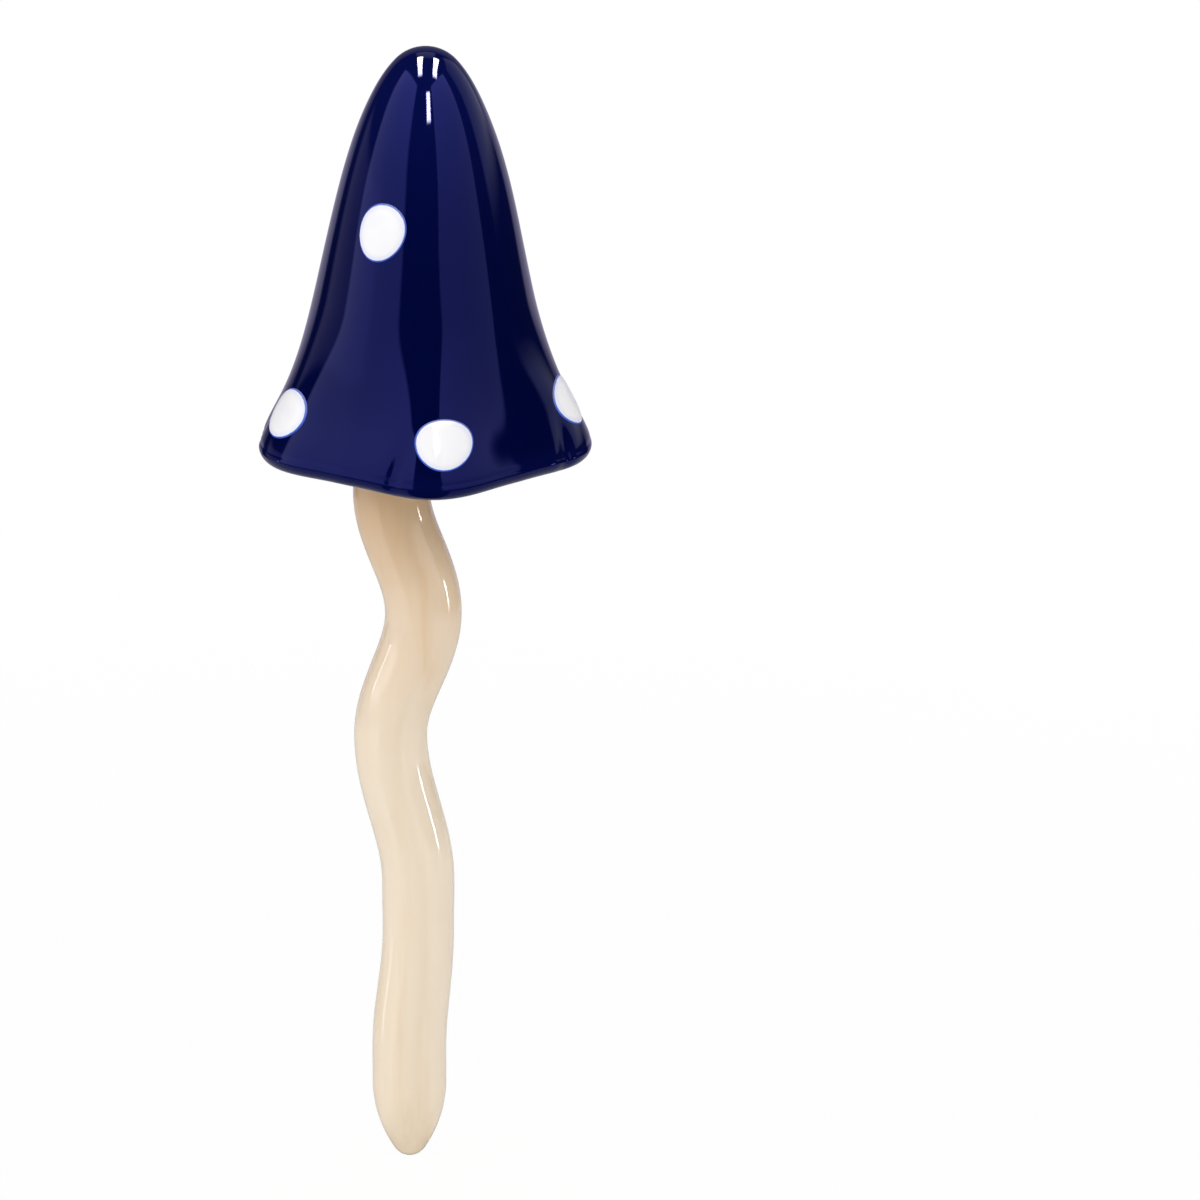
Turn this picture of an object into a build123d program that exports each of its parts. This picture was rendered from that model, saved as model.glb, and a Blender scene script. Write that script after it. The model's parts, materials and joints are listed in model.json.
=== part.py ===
from build123d import *
import math
import os

# A mushroom ornament in glazed ceramic: a wavy hollow stem that ends in a stake, and a loose bell-shaped
# cap with raised spots. The cap rides on a domed plug in the stem's mouth, so it turns, rocks and lifts off.
# Millimetres and degrees. The origin is on the stake's axis at the soil line, and the front faces -Y.

# Stem: a cast rod whose bends lie in the XZ plane
STEM_DIAMETER = 22.4
STEM_WALL = 4.2
WAVE_REACH = 5.0
STEM_CRESTS = [  # X as a share of WAVE_REACH, height as a share of HEAD_BOTTOM, thickness as a factor
    (0.59, 0.172, 0.965),
    (0.59, 0.245, 0.98),
    (-1.04, 0.459, 0.98),
    (0.98, 0.638, 1.027),
    (-0.9, 0.814, 1.03),
]
SECTIONS_PER_BEND = 5
STAKE_DIAMETER = 22.4
STAKE_LENGTH = 10.8
TIP_FLANK_RADIUS = 40.0
TIP_NOSE_RADIUS = 5.5
CAP_AXIS_X = 6.3
HEAD_BOTTOM = 220.0
MOUTH_HEIGHT = 287.0

# Seat: a soft ring on the stem's mouth and a domed plug that carries the cap
RUNNING_GAP = 0.3
WASHER_THICKNESS = 2.0
WASHER_INSET = 0.8
PLUG_SHANK_LENGTH = 16.0
PLUG_FLANGE_THICKNESS = 3.0
PLUG_NECK_LENGTH = 13.2
PLUG_EDGE_ROUND = 0.8

# Cap: outer radius at each drop below its top, wall and rolled lip; it rests with a slight lean to the right
CAP_LEAN = 0.65
CAP_WALL = 4.2
DOME_RADIUS = 12.6
DOME_ANGLE = 48.0
NOSE_RADIUS = 16.87
NOSE_DROP = 16.4
SHOULDER_RADIUS = 23.3
SHOULDER_DROP = 34.25
WAIST_RADIUS = 29.5
WAIST_DROP = 61.2
SKIRT_RADIUS = 35.3
SKIRT_DROP = 88.4
FLARE_RADIUS = 40.9
FLARE_DROP = 106.7
RIM_RADIUS = 46.4
RIM_DROP = 119.0
RIM_FLARE_ANGLE = 19.0
LIP_THICKNESS = 7.9
SKIN_SECTIONS = 22
SECTION_CROWDING = 0.6
LIP_SECTIONS = 6

# Folds of the cap: soft lobes that grow from FOLD_START_DROP down to the rim
LOBE_COUNT = 5
LOBE_TURN = 5.0
LOBE_SHARPNESS = 1.25
LOBE_FLARE = 4.6
LOBE_DROP = 0.7
FOLD_START_DROP = 75.0
POINTS_PER_LOBE = 8

# Spots: raised discs, each at an azimuth from the front (to the right) and a share of the way from top to rim
RIM_SPOT_SIZE = (16.5, 15.1)  # across and down the skin
RIM_SPOT_LEAN = 0.0  # how far a spot's own upright turns to the right
CROWN_SPOT_SIZE = (15.1, 18.2)
CROWN_SPOT_LEAN = 24.0
SPOT_HEIGHT = 1.2
SPOT_ROOT_DEPTH = 1.5
SPOT_PROFILE = [(0.7, -1.0), (1.04, -0.5), (0.97, 0.4), (0.8, 0.9), (0.4, 1.0)]  # reach and rise, as shares
RIM_SPOTS = [(8.8, 0.911), (78.0, 0.892), (150.0, 0.905), (-138.0, 0.907), (-64.6, 0.906)]
CROWN_SPOTS = [(-27.7, 0.454), (152.0, 0.461)]
POINTS_PER_SPOT = 16

# Heights that follow from the pieces stacked on the stem's mouth
stem_radius = STEM_DIAMETER / 2
stake_radius = STAKE_DIAMETER / 2
bore_radius = stem_radius - STEM_WALL
flange_bottom = MOUTH_HEIGHT + WASHER_THICKNESS
flange_top = flange_bottom + PLUG_FLANGE_THICKNESS
pivot_height = flange_top + PLUG_NECK_LENGTH


def stem_section(low, high, share, wall):
    """A disc across the stem, at a share of the way from one crest to the next."""
    ease = (1 - math.cos(math.pi * share)) / 2
    rise = high[1] - low[1]
    slope = math.pi / 2 * math.sin(math.pi * share) * (high[0] - low[0]) / rise
    radius = stem_radius * (low[2] + (high[2] - low[2]) * ease) - wall
    centre = (low[0] + (high[0] - low[0]) * ease, 0, low[1] + rise * share)
    return Plane(origin=centre, x_dir=(0, 1, 0), z_dir=(slope, 0, 1)) * Circle(radius)


def stem_rod(wall):
    """The wavy rod from the stake to the mouth, thinner by a wall all round."""
    stake_top = (0, 0, stake_radius / stem_radius)
    bends = [(across * WAVE_REACH, rise * HEAD_BOTTOM, factor) for across, rise, factor in STEM_CRESTS]
    crests = [stake_top, *bends, (CAP_AXIS_X, HEAD_BOTTOM, 1)]
    sections = []
    for low, high in zip(crests, crests[1:]):
        for step in range(SECTIONS_PER_BEND):
            sections.append(stem_section(low, high, step / SECTIONS_PER_BEND, wall))
    sections.append(stem_section(crests[-2], crests[-1], 1, wall))
    head = extrude(Plane(sections[-1].faces()[0]) * Circle(stem_radius - wall), MOUTH_HEIGHT - HEAD_BOTTOM)
    return loft(sections) + head


def make_stem():
    """Hollow cast stem: wavy rod, straight stake below the soil line and blunt tip."""
    tip_top = -STAKE_LENGTH
    flank_centre = stake_radius - TIP_FLANK_RADIUS
    nose_drop = math.sqrt((TIP_FLANK_RADIUS - TIP_NOSE_RADIUS) ** 2 - flank_centre**2)
    turn = math.degrees(math.atan2(nose_drop, -flank_centre))
    wall = Line((stake_radius, 0), (stake_radius, tip_top))
    flank = CenterArc((flank_centre, tip_top), TIP_FLANK_RADIUS, 0, -turn)
    nose = CenterArc((0, tip_top - nose_drop), TIP_NOSE_RADIUS, -turn, turn - 90)
    half = make_face([wall, flank, nose, Line(nose @ 1, (0, 0)), Line((0, 0), wall @ 0)])
    stake = revolve(Plane.XZ * half, Axis.Z)
    hollow_radius = stake_radius - STEM_WALL
    hollow = Pos(0, 0, tip_top) * (extrude(Circle(hollow_radius), STAKE_LENGTH) + Sphere(hollow_radius))
    return stem_rod(0) + stake - stem_rod(STEM_WALL) - hollow


def make_washer():
    """Soft ring between the stem's mouth and the plug's flange."""
    ring = Circle(stem_radius - WASHER_INSET) - Circle(bore_radius)
    return extrude(Plane((CAP_AXIS_X, 0, MOUTH_HEIGHT)) * ring, WASHER_THICKNESS)


def make_plug():
    """Plug with a shank in the stem's bore, a flange on the washer and a dome under the cap."""
    dome_radius = DOME_RADIUS - CAP_WALL - RUNNING_GAP
    seat = Plane((CAP_AXIS_X, 0, flange_bottom))
    shank = extrude(seat * Circle(bore_radius - RUNNING_GAP), -PLUG_SHANK_LENGTH)
    flange = extrude(seat * Circle(stem_radius - WASHER_INSET), PLUG_FLANGE_THICKNESS)
    flange = fillet(flange.edges().group_by(Axis.Z)[-1], PLUG_EDGE_ROUND)
    shank = fillet(shank.edges().group_by(Axis.Z)[0], PLUG_EDGE_ROUND)
    neck = extrude(seat.offset(PLUG_FLANGE_THICKNESS) * Circle(dome_radius), PLUG_NECK_LENGTH)
    dome = Pos(CAP_AXIS_X, 0, pivot_height) * Sphere(dome_radius)
    return shank + flange + neck + dome


def smooth_step(share):
    """Ease from 0 to 1 with level ends."""
    share = min(max(share, 0), 1)
    return share * share * (3 - 2 * share)


def cap_profile():
    """Outer profile of the cap, radius against height below the top: an arc, then a spline to the rim."""
    dome = CenterArc((0, -DOME_RADIUS), DOME_RADIUS, 90, -DOME_ANGLE)
    rim_lean = math.radians(RIM_FLARE_ANGLE)
    flank = Spline(
        dome @ 1,
        (NOSE_RADIUS, -NOSE_DROP),
        (SHOULDER_RADIUS, -SHOULDER_DROP),
        (WAIST_RADIUS, -WAIST_DROP),
        (SKIRT_RADIUS, -SKIRT_DROP),
        (FLARE_RADIUS, -FLARE_DROP),
        (RIM_RADIUS, -RIM_DROP),
        tangents=[dome % 1, (math.sin(rim_lean), -math.cos(rim_lean))],
    )
    return Wire([dome, flank])


profile = cap_profile()


def profile_frame(way):
    """Point, downward direction, outward normal and strength of the folds at a way down the profile."""
    point = profile.position_at(way, position_mode=PositionMode.LENGTH)
    down = profile.tangent_at(way, position_mode=PositionMode.LENGTH)
    fold = smooth_step((-point.Y - FOLD_START_DROP) / (RIM_DROP - FOLD_START_DROP))
    return point, down, Vector(-down.Y, down.X), fold


def folded(point, azimuth, fold):
    """A point of the profile, turned to an azimuth and moved by the cap's folds, from the dome's centre."""
    swell = (1 + math.cos(math.radians(LOBE_COUNT * (azimuth - LOBE_TURN)))) / 2
    wave = fold * swell**LOBE_SHARPNESS
    reach = point.X + LOBE_FLARE * wave
    turn = math.radians(azimuth)
    return Vector(reach * math.sin(turn), -reach * math.cos(turn), DOME_RADIUS + point.Y - LOBE_DROP * wave)


def cap_ring(point, fold):
    """Closed curve round the cap through one point of its profile."""
    count = LOBE_COUNT * POINTS_PER_LOBE
    points = [folded(point, 360 * step / count, fold) for step in range(count)]
    return Wire([Spline(points, periodic=True)])


def make_cap():
    """The cap's wall, lofted from its top down the outside, round the lip and up the inside."""
    outside = []
    inside = []
    for step in range(1, SKIN_SECTIONS + 1):
        share = step / SKIN_SECTIONS
        crowded = share - SECTION_CROWDING * math.sin(2 * math.pi * share) / (2 * math.pi)
        point, down, normal, fold = profile_frame(crowded * profile.length)
        wall = CAP_WALL + (LIP_THICKNESS - CAP_WALL) * fold
        outside.append(cap_ring(point, fold))
        inside.append(cap_ring(point - normal * wall, fold))
    lip_radius = LIP_THICKNESS / 2
    lip = []
    for step in range(1, LIP_SECTIONS):
        angle = math.pi * step / LIP_SECTIONS
        reach = normal * (math.cos(angle) - 1) + down * math.sin(angle)
        lip.append(cap_ring(point + reach * lip_radius, fold))
    top = Vertex(0, 0, DOME_RADIUS)
    inner_top = Vertex(0, 0, DOME_RADIUS - CAP_WALL)
    return Part() + Solid.make_loft([top, *outside, *lip, *reversed(inside), inner_top], ruled=True)


def skin_point(azimuth, way, proud):
    """A point above the cap's skin, at an azimuth and a way down the skin from the top."""
    point, _, normal, fold = profile_frame(way)
    return folded(point + normal * proud, azimuth, fold)


def spot_ring(azimuth, way, across, down, lean, proud):
    """Closed curve round a spot's middle, that follows the cap's skin."""
    points = []
    for step in range(POINTS_PER_SPOT):
        angle = 2 * math.pi * step / POINTS_PER_SPOT
        place = Vector(across / 2 * math.cos(angle), down / 2 * math.sin(angle)).rotate(Axis.Z, -lean)
        skin_radius = profile_frame(way - place.Y)[0].X
        aside = math.degrees(place.X / skin_radius)
        points.append(skin_point(azimuth + aside, way - place.Y, proud))
    return Wire([Spline(points, periodic=True)])


def make_spot(azimuth, share, size, lean, shell):
    """A raised disc with a soft edge, seated on the cap's skin."""
    way = share * profile.length
    rings = []
    for reach, rise in SPOT_PROFILE:
        proud = rise * (SPOT_HEIGHT if rise > 0 else SPOT_ROOT_DEPTH)
        rings.append(spot_ring(azimuth, way, reach * size[0], reach * size[1], lean, proud))
    root = Vertex(skin_point(azimuth, way, -SPOT_ROOT_DEPTH))
    crown = Vertex(skin_point(azimuth, way, SPOT_HEIGHT))
    return Part() + Solid.make_loft([root, *rings, crown], ruled=True) - shell


os.makedirs("parts", exist_ok=True)
cap_place = Pos(CAP_AXIS_X, 0, pivot_height) * Rot(0, CAP_LEAN, 0)
cap = make_cap()
pieces = {"stem": make_stem(), "seat_washer": make_washer(), "seat_plug": make_plug(), "cap": cap_place * cap}
rows = {
    "rim_spot": (RIM_SPOTS, RIM_SPOT_SIZE, RIM_SPOT_LEAN),
    "crown_spot": (CROWN_SPOTS, CROWN_SPOT_SIZE, CROWN_SPOT_LEAN),
}
for prefix, (places, size, lean) in rows.items():
    for number, (azimuth, share) in enumerate(places, start=1):
        pieces[f"{prefix}_{number}"] = cap_place * make_spot(azimuth, share, size, lean, cap)

for name, piece in pieces.items():
    print(name, "solids", len(piece.solids()), "volume", round(piece.volume, 1), "valid", piece.is_valid)
    export_step(piece, f"parts/{name}.step")
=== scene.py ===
"""A glazed ceramic mushroom ornament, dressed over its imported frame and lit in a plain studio."""

import json
import logging
import math
from dataclasses import dataclass, field
from enum import Enum
from typing import Any, Mapping, Optional, Sequence, Union

import bpy
import numpy as np
from bpy.types import AreaLight, Material, Node, NodeSocket, NodeTree, Object
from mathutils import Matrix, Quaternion, Vector

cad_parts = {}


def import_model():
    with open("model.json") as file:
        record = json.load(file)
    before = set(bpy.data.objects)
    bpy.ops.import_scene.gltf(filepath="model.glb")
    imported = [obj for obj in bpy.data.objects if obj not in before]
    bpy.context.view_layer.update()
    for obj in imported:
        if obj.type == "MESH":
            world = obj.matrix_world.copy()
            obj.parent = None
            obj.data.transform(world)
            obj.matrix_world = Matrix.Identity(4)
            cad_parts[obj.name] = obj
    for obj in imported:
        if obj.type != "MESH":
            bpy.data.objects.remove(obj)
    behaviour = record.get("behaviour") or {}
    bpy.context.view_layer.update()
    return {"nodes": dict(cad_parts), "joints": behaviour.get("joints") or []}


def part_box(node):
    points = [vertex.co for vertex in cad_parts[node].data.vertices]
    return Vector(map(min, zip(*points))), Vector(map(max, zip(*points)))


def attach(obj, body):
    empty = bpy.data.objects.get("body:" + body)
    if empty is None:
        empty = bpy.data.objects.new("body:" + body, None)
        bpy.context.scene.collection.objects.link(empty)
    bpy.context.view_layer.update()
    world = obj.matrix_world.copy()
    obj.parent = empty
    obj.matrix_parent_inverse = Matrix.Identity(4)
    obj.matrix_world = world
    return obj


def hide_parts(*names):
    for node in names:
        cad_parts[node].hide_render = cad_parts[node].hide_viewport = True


log = logging.getLogger("mushroom")

MM = 0.001

Array = np.ndarray
Pair = tuple[float, float]
Triple = tuple[float, float, float]
Colour = Triple


class Body(Enum):
    """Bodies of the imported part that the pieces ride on."""

    STEM = "stem"
    CAP = "cap"


class Slot(Enum):
    """Material slots of the record."""

    STEM_GLAZE = "stem_glaze"
    CAP_GLAZE = "cap_glaze"
    SPOT_GLAZE = "spot_glaze"


# Shader expressions


SMOOTH = {"interpolation_type": "SMOOTHSTEP"}


class Value:
    """A shader socket whose operators add Math nodes to its tree."""

    def __init__(self, paint: "Paint", socket: NodeSocket) -> None:
        """Keeps the socket and the tree it belongs to."""
        self.paint = paint
        self.socket = socket

    def __add__(self, other: "Number") -> "Value":
        """Sum of two values."""
        return self.paint.math("ADD", self, other)

    __radd__ = __add__

    def __sub__(self, other: "Number") -> "Value":
        """Difference of two values."""
        return self.paint.math("SUBTRACT", self, other)

    def __rsub__(self, other: "Number") -> "Value":
        """Difference from a plain number."""
        return self.paint.math("SUBTRACT", other, self)

    def __mul__(self, other: "Number") -> "Value":
        """Product of two values."""
        return self.paint.math("MULTIPLY", self, other)

    def step(self, low: float, high: float) -> "Value":
        """Smooth step from 0 at the low limit to 1 at the high one."""
        inputs = {"Value": self, "From Min": low, "From Max": high}
        return Value(self.paint, self.paint.add("ShaderNodeMapRange", SMOOTH, inputs).outputs[0])


Number = Union[Value, float]


class Paint:
    """Builds the nodes of one material, lamp or world."""

    def __init__(self, tree: NodeTree) -> None:
        """Keeps the node tree that the nodes go into."""
        self.tree = tree

    def add(
        self,
        kind: str,
        settings: Optional[Mapping[str, Any]] = None,
        inputs: Optional[Mapping[Union[str, int], Any]] = None,
    ) -> Node:
        """Adds a node.

        Args:
            kind: the node's Blender type.
            settings: the node's properties, which are set first.
            inputs: a number, colour, socket or Value for each named or numbered socket.

        Returns:
            The new node.
        """
        node = self.tree.nodes.new(kind)
        for name, setting in (settings or {}).items():
            setattr(node, name, setting)
        for name, what in (inputs or {}).items():
            self.feed(node.inputs[name], what)
        return node

    def feed(self, socket: NodeSocket, what: Any) -> None:
        """Links a socket or sets its value.

        Args:
            socket: the input to feed.
            what: a Value, an output socket, a number, a vector or a colour.
        """
        if isinstance(what, Value):
            self.tree.links.new(what.socket, socket)
        elif isinstance(what, NodeSocket):
            self.tree.links.new(what, socket)
        elif socket.type == "RGBA":
            socket.default_value = (*what, 1.0)
        else:
            socket.default_value = what

    def math(self, operation: str, left: Number, right: Number) -> Value:
        """One Math node on two values."""
        node = self.add("ShaderNodeMath", {"operation": operation}, {0: left, 1: right})
        return Value(self, node.outputs[0])

    def mix(self, share: Number, first: Any, second: Any) -> NodeSocket:
        """Mixes two colours or colour sockets by the share of the second."""
        node = self.add("ShaderNodeMix", {"data_type": "RGBA"}, {0: share, 6: first, 7: second})
        return node.outputs[2]

    def attribute(self, name: str) -> Value:
        """A number that the mesh carries on its vertices."""
        return Value(self, self.add("ShaderNodeAttribute", {"attribute_name": name}).outputs["Fac"])

    def noise(self, scale: float, stretch: Triple = (1, 1, 1), detail: float = 3) -> Value:
        """Noise in the piece's own coordinates.

        Args:
            scale: features in each metre.
            stretch: factors on the three axes before the noise is read.
            detail: octaves of the noise.

        Returns:
            The noise, from 0 to 1.
        """
        mapping = {"Vector": self.place(), "Scale": stretch}
        mapped = self.add("ShaderNodeMapping", None, mapping).outputs[0]
        node = self.add("ShaderNodeTexNoise", None, {"Vector": mapped, "Scale": scale, "Detail": detail})
        return Value(self, node.outputs["Fac"])

    def place(self) -> NodeSocket:
        """A point in the piece's own coordinates."""
        return self.add("ShaderNodeTexCoord").outputs["Object"]

    def axes(self, point: NodeSocket) -> list[Value]:
        """The three parts of a point or direction."""
        split = self.add("ShaderNodeSeparateXYZ", None, {0: point})
        return [Value(self, part) for part in split.outputs]

    def ray(self, kind: str) -> Value:
        """1 for rays of a kind, such as Camera or Glossy, and 0 for the others."""
        return Value(self, self.add("ShaderNodeLightPath").outputs[f"Is {kind} Ray"])

    def bump(self, height: Value, distance: float, strength: float) -> NodeSocket:
        """Normal that follows a height from 0 to 1, given its depth in metres and how much of it shows."""
        inputs = {"Height": height, "Distance": distance, "Strength": strength}
        return self.add("ShaderNodeBump", None, inputs).outputs[0]


# Finishes


@dataclass(frozen=True)
class Finish:
    """A procedural material with one principled shader.

    Scales are features in each metre, depths are metres, and edges are the limits of a smooth step.
    """

    name: str

    def surface(self, paint: Paint) -> Mapping[str, Any]:
        """Socket values of the principled shader, by name."""
        raise NotImplementedError

    def material(self) -> Material:
        """Makes the material.

        Returns:
            The new material.
        """
        material = bpy.data.materials.new(self.name)
        material.use_nodes = True
        paint = Paint(material.node_tree)
        shader = material.node_tree.nodes["Principled BSDF"]
        for socket, what in self.surface(paint).items():
            paint.feed(shader.inputs[socket], what)
        return material


@dataclass(frozen=True)
class CobaltGlaze(Finish):
    """Deep glossy cobalt over a dark body; the gloss itself is tinted by the thick glass."""

    name: str = "cobalt_glaze"
    deep: Colour = (0.0002, 0.0018, 0.0330)
    thin: Colour = (0.0022, 0.0046, 0.0640)
    gloss_tint: Colour = (0.19, 0.21, 1.0)
    ior: float = 1.45
    thin_share: float = 0.85
    cloud_scale: float = 45
    cloud_stretch: Triple = (1, 1, 0.4)
    cloud_edges: Pair = (0.35, 0.75)
    cloud_share: float = 0.12
    roughness: float = 0.022
    cloud_roughness: float = 0.02
    peel_scale: float = 160
    peel_depth: float = 0.0001
    peel_strength: float = 0.08

    def surface(self, paint: Paint) -> Mapping[str, Any]:
        """Cloudy depth of colour, thinner glaze on the lip and crown, and a faint orange peel."""
        cloud = paint.noise(self.cloud_scale, self.cloud_stretch)
        clouds = cloud.step(*self.cloud_edges) * self.cloud_share
        thin = paint.attribute("thin") * self.thin_share + clouds
        peel = paint.noise(self.peel_scale, detail=1)
        return {
            "Base Color": paint.mix(thin, self.deep, self.thin),
            "Roughness": self.roughness + cloud * self.cloud_roughness,
            "Normal": paint.bump(peel, self.peel_depth, self.peel_strength),
            "IOR": self.ior,
            "Specular Tint": self.gloss_tint,
        }


@dataclass(frozen=True)
class SpotGlaze(Finish):
    """Raised white glaze that cobalt bleeds into round its edge."""

    name: str = "spot_glaze"
    white: Colour = (0.915, 0.91, 0.93)
    shade: Colour = (0.72, 0.74, 0.93)
    bleed: Colour = (0.024, 0.095, 0.60)
    ior: float = 1.3
    cloud_scale: float = 150
    cloud_edges: Pair = (0.5, 0.8)
    cloud_share: float = 0.15
    ragged_scale: float = 700
    ragged_reach: float = 0.03
    shoulder_edges: Pair = (0.70, 0.95)
    shoulder_shade_share: float = 0.6
    bleed_edges: Pair = (0.925, 0.96)
    roughness: float = 0.06
    cloud_roughness: float = 0.06
    shoulder_roughness: float = 0.22
    bleed_roughness: float = 0.4
    ripple_scale: float = 260
    ripple_depth: float = 0.0002
    ripple_strength: float = 0.3

    def surface(self, paint: Paint) -> Mapping[str, Any]:
        """White with soft lavender clouds, painted shade in lavender on the rounded shoulder, a thin blue
        edge and a slightly uneven skin.
        """
        cloud = paint.noise(self.cloud_scale)
        reach = paint.attribute("reach") + (paint.noise(self.ragged_scale) - 0.5) * self.ragged_reach
        shoulder = reach.step(*self.shoulder_edges)
        # painted shade: the shoulder turns lavender towards the edge, where the pillowed rim rounds over
        shading = cloud.step(*self.cloud_edges) * self.cloud_share + shoulder * self.shoulder_shade_share
        clouded = paint.mix(shading, self.white, self.shade)
        edge = reach.step(*self.bleed_edges)
        smooth = self.roughness + cloud * self.cloud_roughness
        return {
            "Base Color": paint.mix(edge, clouded, self.bleed),
            "Roughness": smooth + shoulder * self.shoulder_roughness + edge * self.bleed_roughness,
            "Normal": paint.bump(paint.noise(self.ripple_scale), self.ripple_depth, self.ripple_strength),
            "IOR": self.ior,
        }


@dataclass(frozen=True)
class CreamGlaze(Finish):
    """Glossy cream glaze with lengthwise streaks, tan towards the top of the stem: partly a warmer glaze
    colour and partly painted shade under the cap.

    A tan band, partly painted shade under the cap, is the two heights between which it comes in, in
    metres, and its share.
    """

    name: str = "cream_glaze"
    cream: Colour = (0.905, 0.755, 0.576)
    pale: Colour = (0.940, 0.828, 0.686)
    tan: Colour = (0.660, 0.380, 0.152)
    ior: float = 1.65
    tan_and_cap_shade: tuple[tuple[Pair, float], ...] = (((0.080, 0.190), 0.45), ((0.145, 0.190), 0.29))
    tan_and_cap_shade_wander: float = 0.03
    streak_scale: float = 30
    streak_stretch: Triple = (5, 5, 0.45)
    cloud_scale: float = 38
    pale_edges: Pair = (0.3, 0.75)
    pale_share: float = 0.5
    tan_edges: Pair = (0.55, 0.75)
    tan_share: float = 0.13
    roughness: float = 0.045
    streak_roughness: float = 0.03
    streak_relief: float = 0.3
    ripple_depth: float = 0.0006
    ripple_strength: float = 0.2

    def surface(self, paint: Paint) -> Mapping[str, Any]:
        """Streaks along the stem, a tan top that is partly painted shade under the cap, and a soft ripple.
        """
        streak = paint.noise(self.streak_scale, self.streak_stretch)
        cloud = paint.noise(self.cloud_scale)
        _, _, height = paint.axes(paint.place())
        level = height + (cloud - 0.5) * self.tan_and_cap_shade_wander
        # painted shade: the tan that comes in towards the top is partly a warmer glaze colour and partly
        # the cap's shadow painted on
        slow, quick = (level.step(*heights) * share for heights, share in self.tan_and_cap_shade)
        tan = slow + quick + (1 - streak).step(*self.tan_edges) * self.tan_share
        body = paint.mix(streak.step(*self.pale_edges) * self.pale_share, self.cream, self.pale)
        relief = cloud + streak * self.streak_relief
        return {
            "Base Color": paint.mix(tan, body, self.tan),
            "Roughness": self.roughness + streak * self.streak_roughness,
            "Normal": paint.bump(relief, self.ripple_depth, self.ripple_strength),
            "IOR": self.ior,
        }


@dataclass(frozen=True)
class Biscuit(Finish):
    """Unglazed fired clay."""

    name: str = "biscuit"
    clay: Colour = (0.66, 0.53, 0.39)
    fired: Colour = (0.50, 0.36, 0.24)
    mottle_scale: float = 90
    mottle_edges: Pair = (0.4, 0.7)
    mottle_share: float = 0.5
    grain_scale: float = 1600
    grain_edges: Pair = (0.55, 0.75)
    grain_share: float = 0.3
    roughness: float = 0.78
    grain_roughness: float = 0.15
    grain_depth: float = 0.0003
    grain_strength: float = 0.5

    def surface(self, paint: Paint) -> Mapping[str, Any]:
        """Mottled clay with a sandy grain."""
        grain = paint.noise(self.grain_scale, detail=4)
        mottle = paint.noise(self.mottle_scale).step(*self.mottle_edges)
        fired = mottle * self.mottle_share + grain.step(*self.grain_edges) * self.grain_share
        return {
            "Base Color": paint.mix(fired, self.clay, self.fired),
            "Roughness": self.roughness + grain * self.grain_roughness,
            "Normal": paint.bump(grain, self.grain_depth, self.grain_strength),
        }


@dataclass(frozen=True)
class SoftRubber(Finish):
    """Dark soft rubber with a bloom of dust."""

    name: str = "soft_rubber"
    black: Colour = (0.020, 0.020, 0.021)
    dusty: Colour = (0.085, 0.083, 0.080)
    bloom_scale: float = 140
    bloom_edges: Pair = (0.45, 0.75)
    bloom_share: float = 0.6
    roughness: float = 0.55
    bloom_roughness: float = 0.25
    grain_scale: float = 1900
    grain_depth: float = 0.0001
    grain_strength: float = 0.4

    def surface(self, paint: Paint) -> Mapping[str, Any]:
        """Black with pale bloom and a moulded grain."""
        bloom = paint.noise(self.bloom_scale).step(*self.bloom_edges)
        return {
            "Base Color": paint.mix(bloom * self.bloom_share, self.black, self.dusty),
            "Roughness": self.roughness + bloom * self.bloom_roughness,
            "Normal": paint.bump(paint.noise(self.grain_scale), self.grain_depth, self.grain_strength),
        }


# Meshes


def smooth_step(share: Array) -> Array:
    """Eases from 0 to 1 with level ends."""
    share = np.clip(share, 0, 1)
    return share * share * (3 - 2 * share)


def hump(distance: Array, width: float) -> Array:
    """A smooth rise to 1 at distance 0 that fades on both sides."""
    return np.exp(-((distance / width) ** 2))


@dataclass(frozen=True)
class Wave:
    """One wave of an uneven skin: number in a round, millimetres along it for each radian, and phase."""

    count: int
    length: float
    phase: float = 0.0


def ripple(turn: Array, along: Array, waves: Sequence[Wave]) -> Array:
    """Mean of several waves, from -1 to 1, at angles in radians and millimetres along a skin."""
    return sum(np.sin(wave.count * turn + along / wave.length + wave.phase) for wave in waves) / len(waves)


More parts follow.
